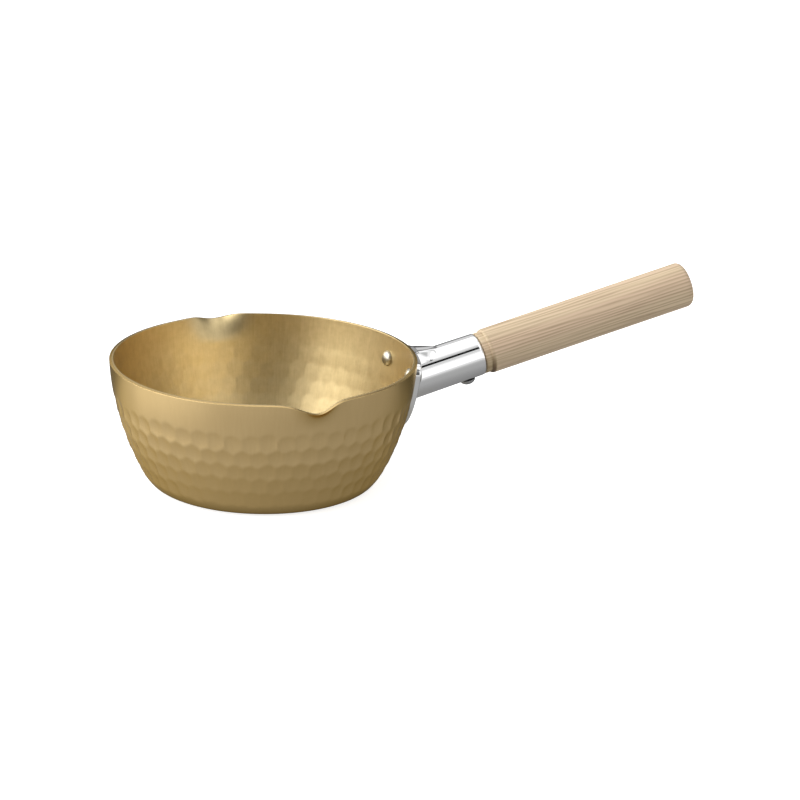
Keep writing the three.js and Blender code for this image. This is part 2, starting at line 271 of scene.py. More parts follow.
def smooth_step(value, low, high):
    settings = {"interpolation_type": "SMOOTHSTEP"}
    inputs = {"Value": value, "From Min": low, "From Max": high}
    return Wire.make(value.tree, "ShaderNodeMapRange", settings, inputs)


def window(value, low, high, soft):
    """1 between two bounds and 0 outside them, with soft edges."""
    return smooth_step(value, low - soft, low + soft) * (1 - smooth_step(value, high - soft, high + soft))


def mix_colours(share, first, second):
    """A Mix node's inputs 0, 6 and 7 are its share and its two colours, and its output 2 is a colour."""
    settings = {"data_type": "RGBA"}
    return Wire.make(share.tree, "ShaderNodeMix", settings, {0: share, 6: first, 7: second}, 2)


def grey(value):
    return (value, value, value, 1)


def new_material(name):
    material = bpy.data.materials.new(name)
    material.use_nodes = True
    material.node_tree.nodes.clear()
    return material, material.node_tree


def surface(tree, shader):
    Wire.make(tree, "ShaderNodeOutputMaterial", {}, {"Surface": shader})


def object_place(tree):
    return Wire.make(tree, "ShaderNodeTexCoord", output="Object")


def turned_place(place, stretch=(1, 1, 1)):
    """A place turned so that its X runs along the handle."""
    inputs = {"Vector": place, "Rotation": (0, HANDLE_PITCH, 0), "Scale": stretch}
    return Wire.make(place.tree, "ShaderNodeMapping", {}, inputs)


def noise(place, scale, detail=2.0, roughness=0.5):
    inputs = {"Vector": place, "Scale": scale, "Detail": detail, "Roughness": roughness}
    return Wire.make(place.tree, "ShaderNodeTexNoise", {}, inputs)


def bump(height, distance, strength):
    inputs = {"Height": height, "Distance": distance, "Strength": strength}
    return Wire.make(height.tree, "ShaderNodeBump", {}, inputs)


# Materials: the scale of a noise is its cycles in a metre.

OUTER_GOLD_DEEP = (0.73, 0.52, 0.24, 1)
OUTER_GOLD_PALE = (0.85, 0.625, 0.31, 1)
INNER_GOLD_DEEP = (0.46, 0.345, 0.15, 1)
INNER_GOLD_PALE = (0.80, 0.635, 0.33, 1)
GRAZING_GOLD = (0.78, 0.68, 0.46, 1)
SPUN_BAND = (48 * MM, 62 * MM)

POLISHED_COLOUR = grey(0.93)
# Darker warm grey for the rivets: the gold in it is a painted reflection of the gold bowl.
RIVET_GREY_AND_GOLD_REFLECTION = (0.48, 0.45, 0.375, 1)
SCREW_COLOUR = grey(0.55)
BUFFING_STRETCH = (25, 1, 1)
BUFFING_CONTRAST = 0.02

EARLY_WOOD = (0.64, 0.505, 0.335, 1)
ROSY_WOOD = (0.64, 0.48, 0.332, 1)
LATE_WOOD = (0.32, 0.22, 0.13, 1)
PORE_SHADE = (0.28, 0.19, 0.115, 1)
# Olive of the neck: partly its own tint, partly painted shade on its underside.
NECK_TINT_AND_SHADE = (0.37, 0.285, 0.14, 1)
# Colour of the painted shadow in the cove under the handle's shoulder.
GROOVE_SHADE = (0.13, 0.075, 0.035, 1)
LAYER_SLANT = 0.42
LAYER_DRIFT = 0.012
LAYER_WANDER = 3.0

PAINTED_BOUNCE_GLOW = (1, 0.95, 0.8, 1)
WHITE = grey(1)


def gold_aluminium():
    """Satin gold outside, and inside a duller, streaked gold with the rings of spinning under the rim."""
    material, tree = new_material("gold_aluminium")
    place = object_place(tree)
    inner = Wire.make(tree, "ShaderNodeAttribute", {"attribute_name": "inner"}, output="Fac")
    around = place.vector("MULTIPLY", (1, 1, 0)).vector("NORMALIZE")
    upright = place.vector("MULTIPLY", (0, 0, 1))
    streaks = noise(around.vector("ADD", upright), scale=90, detail=3)
    spinning = noise(upright, scale=1400)
    rings = noise(upright, scale=330, detail=1) * smooth_step(place.part(2), *SPUN_BAND)
    cloud = noise(place, scale=38, detail=3)
    mottle = noise(place, scale=230, detail=3, roughness=0.6)
    satin = noise(place, scale=900)
    outside = mix_colours(0.5 * cloud + 0.5 * streaks, OUTER_GOLD_DEEP, OUTER_GOLD_PALE)
    inside = mix_colours(0.4 * streaks + 0.6 * mottle, INNER_GOLD_DEEP, INNER_GOLD_PALE)
    texture = satin + (0.6 * streaks + 0.5 * spinning + 15 * rings + 4 * mottle) * inner
    inputs = {
        "Base Color": mix_colours(inner, outside, inside),
        "Metallic": 1,
        "Roughness": 0.18 + 0.06 * cloud + (0.16 + 0.08 * streaks) * inner,
        "Specular Tint": GRAZING_GOLD,
        "Coat Weight": inner,
        "Coat Roughness": 0.35,
        "Normal": bump(texture, distance=0.012 * MM, strength=0.3),
    }
    surface(tree, Wire.make(tree, "ShaderNodeBsdfPrincipled", {}, inputs))
    return material


def polished_metal(name, roughness, colour):
    material, tree = new_material(name)
    buffing = noise(turned_place(object_place(tree), BUFFING_STRETCH), scale=260, detail=3)
    darker = [part * (1 - BUFFING_CONTRAST) for part in colour]
    lighter = [part * (1 + BUFFING_CONTRAST) for part in colour]
    inputs = {
        "Base Color": mix_colours(buffing, darker, lighter),
        "Metallic": 1,
        "Roughness": roughness + 0.05 * buffing,
        "Normal": bump(buffing, distance=0.006 * MM, strength=0.4),
    }
    surface(tree, Wire.make(tree, "ShaderNodeBsdfPrincipled", {}, inputs))
    return material


def pale_wood():
    """Straight grain along the handle, with painted shade in the cove under its shoulder, strongest on the
    underside, and a neck tinted olive, with more of it on the underside as painted shade.
    """
    material, tree = new_material("pale_wood")
    from_anchor = object_place(tree).vector("ADD", (-anchor_radius, 0, -anchor_height))
    place = turned_place(from_anchor)
    along = place.part(0)

    def stretched(along_scale, across_scale, detail=2.0):
        return noise(place.vector("MULTIPLY", (along_scale, across_scale, across_scale)), 1, detail)

    layer = LAYER_SLANT * place.part(1) + place.part(2) + LAYER_DRIFT * along
    year = (layer / RING_PITCH + LAYER_WANDER * stretched(6, 150)).math("FRACT")
    late = smooth_step(year, 0.2, 0.75) * (1 - smooth_step(year, 0.8, 1))
    vigour = smooth_step(stretched(8, 170), 0.3, 0.65)
    hair = smooth_step(stretched(24, 900, 3), 0.45, 0.7)
    blush = smooth_step(stretched(4, 95), 0.4, 0.65)
    pores = smooth_step(stretched(60, 2600), 0.58, 0.75)
    grain = 0.7 * late * (0.3 + 0.7 * vigour) + 0.3 * hair
    early = mix_colours(blush, EARLY_WOOD, ROSY_WOOD)
    lined = mix_colours(0.85 * grain, early, LATE_WOOD)
    flecked = mix_colours(pores * (0.1 + 0.2 * grain), lined, PORE_SHADE)

    # The handle's underside, where painted shade is laid on the neck and in the cove under the shoulder.
    below = 1 - smooth_step(place.part(2), -10 * MM, 6 * MM)
    neck = 1 - smooth_step(along, grip_start - 0.2 * MM, grip_start + 0.2 * MM)
    # Painted shadow in the cove under the shoulder, strongest on the underside.
    cove_shadow = smooth_step(along, grip_start - 1.6 * SHOULDER_LENGTH, grip_start - 0.8 * SHOULDER_LENGTH)
    cove_shadow = cove_shadow * (1 - smooth_step(along, grip_start - 0.5 * SHOULDER_LENGTH, grip_start + 0.2 * MM))
    # The neck's olive tint: a little all round as its own colour, and more on the underside as painted shade.
    tinted_and_shaded = mix_colours(neck * (0.15 + 0.4 * below), flecked, NECK_TINT_AND_SHADE)
    inputs = {
        "Base Color": mix_colours(0.92 * cove_shadow * below, tinted_and_shaded, GROOVE_SHADE),
        "Roughness": 0.5 + 0.12 * grain,
        "Normal": bump(0.5 * (1 - grain) - 0.5 * pores, distance=0.05 * MM, strength=0.35),
    }
    surface(tree, Wire.make(tree, "ShaderNodeBsdfPrincipled", {}, inputs))
    return material


# Shapes

def solid(name, mesh, material, sharp=SHARP_EDGE):
    mesh.materials.clear()
    mesh.materials.append(material)
    mesh.polygons.foreach_set("use_smooth", [True] * len(mesh.polygons))
    mesh.set_sharp_from_angle(angle=sharp)
    piece = bpy.data.objects.new(name, mesh)
    bpy.context.collection.objects.link(piece)
    return piece


def skin(name, paths):
    """A closed mesh over columns of points that share a first and a last point."""
    body = bmesh.new()
    start = body.verts.new(paths[0][0])
    end = body.verts.new(paths[0][-1])
    columns = [[body.verts.new(point) for point in path[1:-1]] for path in paths]
    for here, there in zip(columns, columns[1:] + columns[:1]):
        body.faces.new((start, here[0], there[0]))
        for a, b, c, d in zip(here, here[1:], there[1:], there):
            body.faces.new((a, b, c, d))
        body.faces.new((here[-1], end, there[-1]))
    bmesh.ops.recalc_face_normals(body, faces=body.faces)
    mesh = bpy.data.meshes.new(name)
    body.to_mesh(mesh)
    body.free()
    return mesh


def turned(name, profile, sides, place):
    """A body turned about local X from pairs of distance along the axis and radius, ends on the axis."""
    angles = [2 * pi * i / sides for i in range(sides)]
    paths = [[place @ Vector((x, r * cos(a), r * sin(a))) for x, r in profile] for a in angles]
    return skin(name, paths)


def quarter_arc(along, radius, along_reach, radius_reach, steps):
    angles = [pi / 2 * i / steps for i in range(steps + 1)]
    return [(along + along_reach * sin(a), radius + radius_reach * cos(a)) for a in angles]


def stepped(start, stop, step):
    """Even places from start up to, but not with, stop, about a step apart."""
    count = max(1, round((stop - start) / step))
    return [start + (stop - start) * i / count for i in range(count)]


def smooth_min(first, second, width):
    share = min(1, max(0, 0.5 + 0.5 * (second - first) / width))
    return second + (first - second) * share - width * share * (1 - share)


# The bowl's outer wall, followed from the rim by its length

side_radius = (
    BOWL_HEIGHT
    - HIP_RADIUS * (sin(HIP_LEAN) - sin(SIDE_LEAN))
    - CORNER_RADIUS * (1 - sin(HIP_LEAN))
) / (sin(SIDE_LEAN) - sin(RIM_LEAN))
wall_arcs = [
    (side_radius, RIM_LEAN, SIDE_LEAN),
    (HIP_RADIUS, SIDE_LEAN, HIP_LEAN),
    (CORNER_RADIUS, HIP_LEAN, pi / 2),
]
wall_length = sum(radius * (to - start) for radius, start, to in wall_arcs)


def wall_at(depth):
    """Radius, height and lean of the wall at a length down from the rim, and on over the flat base."""
    radius, height, left = RIM_RADIUS, BOWL_HEIGHT, depth
    lean = RIM_LEAN
    for arc, start, to in wall_arcs:
        lean = start + min(left / arc, to - start)
        radius -= arc * (cos(start) - cos(lean))
        height -= arc * (sin(lean) - sin(start))
        left -= arc * (lean - start)
        if left <= 1e-9:
            break
    return radius - max(0, left), height, lean


base_radius = wall_at(wall_length)[0]


# Geometry Nodes

def geometry_tree(name, inputs):
    """A tree with named inputs, given as name: (socket type, value)."""
    tree = bpy.data.node_groups.new(name, "GeometryNodeTree")
    tree.interface.new_socket("Geometry", in_out="INPUT", socket_type="NodeSocketGeometry")
    for label, (kind, _) in inputs.items():
        tree.interface.new_socket(label, in_out="INPUT", socket_type=kind)
    tree.interface.new_socket("Geometry", in_out="OUTPUT", socket_type="NodeSocketGeometry")
    entry = tree.nodes.new("NodeGroupInput")
    return tree, {socket.name: Wire(tree, socket) for socket in entry.outputs if socket.name}


def end_tree(tree, geometry, material):
    real = Wire.make(tree, "GeometryNodeRealizeInstances", {}, {"Geometry": geometry})
    finished = Wire.make(tree, "GeometryNodeSetMaterial", {}, {"Geometry": real, "Material": material})
    Wire.make(tree, "NodeGroupOutput", {}, {0: finished})


def grown(name, mesh, tree, inputs, material):
    """Runs a tree over a mesh and keeps the plain result as a piece."""
    holder = bpy.data.objects.new(name + "_rule", mesh)
    bpy.context.collection.objects.link(holder)
    modifier = holder.modifiers.new(name, "NODES")
    modifier.node_group = tree
    for item in tree.interface.items_tree:
        if item.in_out == "INPUT" and item.name in inputs:
            modifier[item.identifier] = inputs[item.name][1]
    depsgraph = bpy.context.evaluated_depsgraph_get()
    result = bpy.data.meshes.new_from_object(holder.evaluated_get(depsgraph), depsgraph=depsgraph)
    holder.modifiers.clear()
    bpy.data.objects.remove(holder)
    return solid(name, result, material)


# The bowl: its section is a chain of points, and the tree turns it, hammers it and draws out the lips.

marks_top = FIRST_ROW - ROW_PITCH / 2
marks_end = marks_top + MARK_ROWS * ROW_PITCH


def wall_point(depth, inset):
    radius, height, lean = wall_at(depth)
    return radius - inset * cos(lean), height + inset * sin(lean), lean


def bowl_section():
    """From the middle of the outer base over the rim to the middle of the inner base, one entry a point:
    depth, inset, 1 outside or -1 inside, and the depth of a mark there."""
    margin = MARK_RADIUS - ROW_PITCH / 2
    depths = stepped(RIM_ROUND, marks_top - margin, BAND_STEP)
    depths += stepped(marks_top - margin, marks_end + margin, ROW_PITCH / STEPS_PER_MARK)
    depths += stepped(marks_end + margin, wall_length, HIP_STEP)
    depths += stepped(wall_length, wall_length + base_radius, base_radius / BASE_RINGS)
    depths += [wall_length + base_radius]
    outside = [(depth, 0, 1, MARK_DEPTH) for depth in depths]
    inside = [(depth, WALL, -1, -INNER_MARK_DEPTH) for depth in depths]
    turns = [pi / 2 * i / RIM_STEPS for i in range(1, RIM_STEPS)]
    corner = [(RIM_ROUND * (1 - sin(a)), RIM_ROUND * (1 - cos(a))) for a in turns]
    outer_rim = [(depth, inset, 1, 0) for depth, inset in corner]
    inner_rim = [(depth - RIM_RISE, WALL - inset, -1, 0) for depth, inset in reversed(corner)]
    top = [(0, RIM_ROUND, 1, 0), (-RIM_RISE / 2, WALL / 2, 1, 0), (-RIM_RISE, WALL - RIM_ROUND, -1, 0)]
    return outside[::-1] + outer_rim + top + inner_rim + inside


def section_mesh(section):
    mesh = bpy.data.meshes.new("bowl_section")
    points = [wall_point(depth, inset) for depth, inset, _, _ in section]
    mesh.from_pydata([(max(0, radius), 0, height) for radius, height, _ in points], [], [])
    depth = mesh.attributes.new("depth", "FLOAT", "POINT")
    depth.data.foreach_set("value", [entry[0] for entry in section])
    inner = mesh.attributes.new("inner", "FLOAT", "POINT")
    inner.data.foreach_set("value", [0.5 - 0.5 * entry[2] for entry in section])
    strength = mesh.attributes.new("mark_depth", "FLOAT", "POINT")
    strength.data.foreach_set("value", [entry[3] for entry in section])
    facing = mesh.attributes.new("facing", "FLOAT_VECTOR", "POINT")
    for slot, (_, _, side, _), (_, _, lean) in zip(facing.data, section, points):
        slot.vector = (side * cos(lean), 0, -side * sin(lean))
    return mesh


def section_sample(tree, section, kind, name, row):
    if name == "position":
        value = Wire.make(tree, "GeometryNodeInputPosition")
    else:
        value = Wire.make(tree, "GeometryNodeInputNamedAttribute", {"data_type": kind}, {"Name": name})
    settings = {"data_type": kind, "domain": "POINT"}
    inputs = {"Geometry": section, "Value": value, "Index": row}
    return Wire.make(tree, "GeometryNodeSampleIndex", settings, inputs)


def hammer_dent(tree, size, azimuth, depth, radius, neighbour):
    """How far into a mark a point lies, 1 at its middle, for the marks of this row or a neighbouring one."""
    row = ((depth - size["First Row"]) / size["Row Pitch"]).math("ROUND") + neighbour
    stagger = row.math("FLOORED_MODULO", 2) * 0.5
    along = azimuth / (2 * pi) * size["Marks Per Row"] - stagger
    mark = along.math("ROUND")
    number = mark.math("FLOORED_MODULO", size["Marks Per Row"])
    key = Wire.make(tree, "ShaderNodeCombineXYZ", {}, {0: number, 1: row, 2: size["Seed"]})
    chance = Wire.make(tree, "ShaderNodeTexWhiteNoise", {"noise_dimensions": "3D"}, {"Vector": key}, "Color")
    shift = (chance.part(0) - 0.5) * size["Unevenness"]
    slide = (chance.part(1) - 0.5) * size["Unevenness"]
    vigour = 1 + (chance.part(2) - 0.5) * size["Unevenness"]
    across = (along - mark - shift) * radius * (2 * pi) / size["Marks Per Row"]
    down = depth - size["First Row"] - (row + slide) * size["Row Pitch"]
    reach = (across * across + down * down) / (size["Mark Radius"] * size["Mark Radius"])
    inside = row.math("COMPARE", (size["Mark Rows"] - 1) / 2, size["Mark Rows"] / 2)
    return (vigour - reach) * inside


def bowl_tree(inputs):
    tree, size = geometry_tree("hammered_bowl", inputs)
    section = size["Geometry"]
    rows = Wire.make(tree, "GeometryNodeAttributeDomainSize", {"component": "MESH"}, {"Geometry": section})
    counts = {"Vertices X": size["Columns"] + 1, "Vertices Y": rows}
    sheet = Wire.make(tree, "GeometryNodeMeshGrid", {}, counts)
    index = Wire.make(tree, "GeometryNodeInputIndex")
    row = index.math("FLOORED_MODULO", rows)
    column = ((index - row) / rows).math("ROUND")
    azimuth = column * (2 * pi) / size["Columns"]
    point = section_sample(tree, section, "FLOAT_VECTOR", "position", row)
    facing = section_sample(tree, section, "FLOAT_VECTOR", "facing", row)
    depth = section_sample(tree, section, "FLOAT", "depth", row)
    strength = section_sample(tree, section, "FLOAT", "mark_depth", row)

    above, here, below = [hammer_dent(tree, size, azimuth, depth, point.part(0), near) for near in (-1, 0, 1)]
    deepest = above.math("SMOOTH_MAX", here, CUSP_ROUND).math("SMOOTH_MAX", below, CUSP_ROUND)
    sunk = deepest.math("SMOOTH_MAX", 0, CUSP_ROUND) * strength

    from_lip = azimuth.math("SINE").math("ABSOLUTE").math("MINIMUM", 1).math("ARCCOSINE") * size["Rim Radius"]
    fade = (1 - depth / size["Lip Depth"]).math("MAXIMUM", 0) ** 2

    def swell(spread):
        power = from_lip / spread
        return fade * (power * power * -0.5).math("EXPONENT")

    radius = point.part(0) - facing.part(0) * sunk + size["Lip Reach"] * swell(size["Lip Spread"])
    height = point.part(2) - facing.part(2) * sunk - size["Lip Drop"] * swell(size["Notch Spread"])
    corner = {0: radius * azimuth.math("COSINE"), 1: radius * azimuth.math("SINE"), 2: height}
    place = Wire.make(tree, "ShaderNodeCombineXYZ", {}, corner)
    formed = Wire.make(tree, "GeometryNodeSetPosition", {}, {"Geometry": sheet, "Position": place})
    side = section_sample(tree, section, "FLOAT", "inner", row)
    settings = {"data_type": "FLOAT", "domain": "POINT"}
    marked = {"Geometry": formed, "Name": "inner", "Value": side}
    known = Wire.make(tree, "GeometryNodeStoreNamedAttribute", settings, marked)
    merging = {"Geometry": known, "Distance": MERGE_DISTANCE}
    end_tree(tree, Wire.make(tree, "GeometryNodeMergeByDistance", {}, merging), size["Metal"])
    return tree


def make_bowl(metal):
    inputs = {
        "Columns": ("NodeSocketInt", MARKS_PER_ROW * COLUMNS_PER_MARK),
        "Marks Per Row": ("NodeSocketInt", MARKS_PER_ROW),
        "Mark Rows": ("NodeSocketInt", MARK_ROWS),
        "First Row": ("NodeSocketFloat", FIRST_ROW),
        "Row Pitch": ("NodeSocketFloat", ROW_PITCH),
        "Mark Radius": ("NodeSocketFloat", MARK_RADIUS),
        "Unevenness": ("NodeSocketFloat", MARK_UNEVENNESS),
        "Seed": ("NodeSocketInt", MARK_SEED),
        "Rim Radius": ("NodeSocketFloat", RIM_RADIUS),
        "Lip Reach": ("NodeSocketFloat", LIP_REACH),
        "Lip Drop": ("NodeSocketFloat", LIP_DROP),
        "Lip Spread": ("NodeSocketFloat", LIP_SPREAD),
        "Notch Spread": ("NodeSocketFloat", NOTCH_SPREAD),
        "Lip Depth": ("NodeSocketFloat", LIP_DEPTH),
        "Metal": ("NodeSocketMaterial", metal),
    }
    mesh = section_mesh(bowl_section())
    return grown("hammered_bowl", mesh, bowl_tree(inputs), inputs, metal)


# The socket's place: its axis meets the wall at the anchor, and u and v run along and up the wall.

anchor_radius, anchor_height, _ = wall_at(SOCKET_DEPTH)
anchor = Matrix.Translation((anchor_radius, 0, anchor_height))
handle_frame = anchor @ Matrix.Rotation(-HANDLE_PITCH, 4, "Y")
plate_outer = SEAT_GAP + PLATE_THICKNESS


def on_wall(u, v, lift):
    radius, height, lean = wall_at(SOCKET_DEPTH - v)
    azimuth = u / anchor_radius
    reach = radius + lift * cos(lean)
    return Vector((reach * cos(azimuth), reach * sin(azimuth), height - lift * sin(lean)))


def off_wall(point):
    """The u, v and lift of a point near the wall."""
    reach = hypot(point.x, point.y)
    depth = SOCKET_DEPTH
    for _ in range(8):
        radius, height, lean = wall_at(depth)
        depth -= (reach - radius) * sin(lean) + (point.z - height) * cos(lean)
    radius, height, lean = wall_at(depth)
    lift = (reach - radius) * cos(lean) - (point.z - height) * sin(lean)
    return atan2(point.y, point.x) * anchor_radius, SOCKET_DEPTH - depth, lift


def tube_radius(along):
    return TUBE_ROOT_RADIUS + (TUBE_MOUTH_RADIUS - TUBE_ROOT_RADIUS) * along / TUBE_LENGTH


web_tip = handle_frame @ Vector((WEB_LENGTH, 0, tube_radius(WEB_LENGTH)))
web_start = handle_frame.inverted() @ Vector((anchor_radius + plate_outer, 0, web_tip.z - WEB_FALL))
web_root = web_start.x
web_root_height = web_start.z


def socket_point(angle, along):
    """The casting's outer skin: the tube, and the crowned web that stands on it. Angle 0 is the top."""
    tube = tube_radius(along)
    reach = tube
    share = (along - web_root) / (WEB_LENGTH - web_root)
    top = web_root_height + (tube_radius(WEB_LENGTH) - web_root_height) * share
    half_width = WEB_WIDTH / 2 * max(0, 1 - max(0, share) ** WEB_FULLNESS)
    edge = hypot(half_width, top)
    lean = abs(atan2(sin(angle), cos(angle)))
    if edge > tube:
        foot = min(WEB_SPREAD, atan2(half_width, top) + acos(tube / edge))
        if lean < foot:
            facing = Vector((top - tube * cos(foot), tube * sin(foot) - half_width))
            flank = facing.dot((half_width, top)) / facing.dot((sin(lean), cos(lean)))
            crowned = (top - (top * tan(lean)) ** 2 / (2 * WEB_CROWN)) / cos(lean)
            reach = max(tube, smooth_min(crowned, flank, WEB_EDGE))
    return handle_frame @ Vector((along, reach * sin(angle), reach * cos(angle)))


def plate_reach(inset, centre):
    """Distance from the plate's centre to its outline, by direction: a taut band round five discs."""
    corner_reach = PLATE_SPAN / 2 - PLATE_CORNER_RADIUS
    corner_rise = SOCKET_DEPTH - PLATE_CORNER_DEPTH - PLATE_CORNER_RADIUS
    discs = [
        (corner_reach, corner_rise, PLATE_CORNER_RADIUS),
        (-corner_reach, corner_rise, PLATE_CORNER_RADIUS),
        (0, SOCKET_DEPTH - PLATE_CROWN_DEPTH - PLATE_CROWN_RADIUS, PLATE_CROWN_RADIUS),
        (PLATE_LOBE_SPREAD / 2, -PLATE_LOBE_DROP, PLATE_LOBE_RADIUS),
        (-PLATE_LOBE_SPREAD / 2, -PLATE_LOBE_DROP, PLATE_LOBE_RADIUS),
    ]
    band = []
    for i in range(OUTLINE_STEPS):
        angle = 2 * pi * i / OUTLINE_STEPS
        u, v, radius = max(discs, key=lambda disc: disc[0] * sin(angle) + disc[1] * cos(angle) + disc[2])
        band.append((u + (radius - inset) * sin(angle), v + (radius - inset) * cos(angle) - centre))

    def reach(direction):
        du, dv = sin(direction), cos(direction)
        best = 0
        for (au, av), (bu, bv) in zip(band, band[1:] + band[:1]):
            slant = du * (bv - av) - dv * (bu - au)
            if abs(slant) < 1e-12:
                continue
            share = (dv * au - du * av) / slant
            if -1e-6 <= share <= 1 + 1e-6:
                best = max(best, du * (au + (bu - au) * share) + dv * (av + (bv - av) * share))
        return best

    return reach


def resampled(points, count):
    """Points at even distances along a chain."""
    lengths = [0]
    for a, b in zip(points, points[1:]):
        lengths.append(lengths[-1] + (b - a).length)
    result = []
    piece = 0
    for i in range(count):
        target = lengths[-1] * i / (count - 1)
        while piece < len(points) - 2 and lengths[piece + 1] < target:
            piece += 1
        span = lengths[piece + 1] - lengths[piece]
        share = (target - lengths[piece]) / span if span else 0
        result.append(points[piece].lerp(points[piece + 1], min(1, share)))
    return result


def meeting(angle):
    """Distance along the tube at which its skin meets the plate's outer face, found by halving."""
    low, high = -20 * MM, 40 * MM
    for _ in range(40):
        middle = (low + high) / 2
        if off_wall(socket_point(angle, middle))[2] > plate_outer:
            high = middle
        else:
            low = middle
    return high


def socket_angles():
    """Directions round the tube, one for each column of the socket's mesh."""
    evens = [2 * pi * i / SOCKET_COLUMNS for i in range(SOCKET_COLUMNS)]
    angles = [even - WEB_CROWDING * sin(even) for even in evens]
    for foot in (WEB_SPREAD, 2 * pi - WEB_SPREAD):
        angles += [foot - WEB_CREASE, foot + WEB_CREASE]
    return sorted(angles)


def tube_path(angle, stop_along):
    """From the middle of the bore's floor out over the mouth and back along the skin."""
    radial = Vector((0, sin(angle), cos(angle)))
    bore = TUBE_MOUTH_RADIUS - TUBE_WALL
    skin_start = TUBE_LENGTH - MOUTH_ROUND
    inner = [(TUBE_FLOOR, 0), (TUBE_FLOOR, bore), (TUBE_LENGTH, bore)]
    mouth = quarter_arc(skin_start, TUBE_MOUTH_RADIUS - MOUTH_ROUND, MOUTH_ROUND, MOUTH_ROUND, EDGE_STEPS)
    path = [handle_frame @ (Vector((x, 0, 0)) + radial * r) for x, r in inner + mouth[::-1]]
    for share in [j / TUBE_STEPS for j in range(1, TUBE_STEPS)]:
        path.append(socket_point(angle, skin_start + (stop_along - skin_start) * share))
    return path


def socket_path(angle, centre, face_reach, edge_reach):
    """One column: over the tube, its root fillet and the plate to the middle of the plate's back."""
    corner_along = meeting(angle)
    start_along = corner_along + ROOT_FILLET
    path = tube_path(angle, start_along)

    corner = socket_point(angle, corner_along)
    u, v, _ = off_wall(corner)
    direction = atan2(u, v - centre)
    reach = hypot(u, v - centre)
    face = max(face_reach(direction), reach + LEAST_STEP)
    edge = max(edge_reach(direction), face + LEAST_STEP)

    def spread(distance, lift):
        return on_wall(distance * sin(direction), centre + distance * cos(direction), lift)

    start = socket_point(angle, start_along)
    landing = spread(reach + ROOT_FILLET, plate_outer)
    fillet = []
    for t in [j / FILLET_STEPS for j in range(FILLET_STEPS + 1)]:
        point = start * (1 - t) ** 2 + corner * 2 * t * (1 - t) + landing * t ** 2
        u, v, _ = off_wall(point)
        if hypot(u, v - centre) > face and t > 0:
            break
        fillet.append(point)
    if len(fillet) > FILLET_STEPS and reach + ROOT_FILLET < face:
        fillet.append(spread(face, plate_outer))
    u, v, lift = off_wall(fillet[-1])
    far = hypot(u, v - centre)
    edge = max(edge, far + LEAST_STEP)
    if len(fillet) < 2:
        fillet.append(spread(far + LEAST_STEP / 2, lift))
    path += resampled(fillet, FILLET_POINTS)

    for turn in [pi / 2 * j / EDGE_STEPS for j in range(1, EDGE_STEPS + 1)]:
        drop = min(PLATE_ROUND, lift - SEAT_GAP) * (1 - cos(turn))
        path.append(spread(far + (edge - far) * sin(turn), lift - drop))
    for share in (1, 0.75, 0.5, 0.25):
        path.append(spread(edge * share, SEAT_GAP))
    path.append(on_wall(0, centre, SEAT_GAP))
    return path


def make_socket(metal):
    centre = off_wall(handle_frame @ Vector((plate_outer, 0, 0)))[1]
    face_reach = plate_reach(PLATE_ROUND, centre)
    edge_reach = plate_reach(0, centre)
    paths = [socket_path(angle, centre, face_reach, edge_reach) for angle in socket_angles()]
    return solid("handle_socket_casting", skin("socket", paths), metal)


# Rivets: a tree stands one rivet on the wall at each point.

def rivet_tree(inputs):
    tree, size = geometry_tree("riveted_plate", inputs)
    settings = {"data_type": "FLOAT_VECTOR"}
    outward = Wire.make(tree, "GeometryNodeInputNamedAttribute", settings, {"Name": "outward"})
    turn = Wire.make(tree, "FunctionNodeAlignRotationToVector", {"axis": "X"}, {"Vector": outward})
    one = Wire.make(tree, "GeometryNodeObjectInfo", {}, {"Object": size["Rivet"]}, "Geometry")
    sizes = {"Points": size["Geometry"], "Instance": one, "Rotation": turn, "Scale": size["Scale"]}
    end_tree(tree, Wire.make(tree, "GeometryNodeInstanceOnPoints", {}, sizes), size["Metal"])
    return tree


def make_rivets(metal):
    reach = PLATE_SPAN / 2 - RIVET_INSET
    places = [(reach, RIVET_RISE), (-reach, RIVET_RISE), (0, -LOWER_RIVET_DROP)]
    mesh = bpy.data.meshes.new("rivet_places")
    mesh.from_pydata([on_wall(u, v, 0) for u, v in places], [], [])
    outward = mesh.attributes.new("outward", "FLOAT_VECTOR", "POINT")
    for slot, (u, v) in zip(outward.data, places):
        slot.vector = (on_wall(u, v, MM) - on_wall(u, v, 0)).normalized()
    inner_seat = -WALL - INNER_MARK_DEPTH - SEAT_GAP / 2
    outer_seat = plate_outer + SEAT_GAP / 4
    profile = quarter_arc(inner_seat, 0, -INNER_HEAD_HEIGHT, INNER_HEAD_RADIUS, HEAD_STEPS)[::-1]
    profile += [(inner_seat, SHANK_RADIUS), (outer_seat, SHANK_RADIUS)]
    profile += quarter_arc(outer_seat, 0, HEAD_HEIGHT, HEAD_RADIUS, HEAD_STEPS)
    pattern = bpy.data.objects.new("rivet_pattern", turned("rivet", profile, RIVET_SIDES, Matrix.Identity(4)))
    bpy.context.collection.objects.link(pattern)
    inputs = {
        "Rivet": ("NodeSocketObject", pattern),
        "Scale": ("NodeSocketFloat", 1.0),
        "Metal": ("NodeSocketMaterial", metal),
    }
    rivets = grown("plate_rivets", mesh, rivet_tree(inputs), inputs, metal)
    bpy.data.objects.remove(pattern)
    return rivets


# Wooden handle and its screw

neck_start = TUBE_LENGTH + SEAT_GAP
grip_start = neck_start + NECK_LENGTH
grip_end = grip_start + GRIP_LENGTH


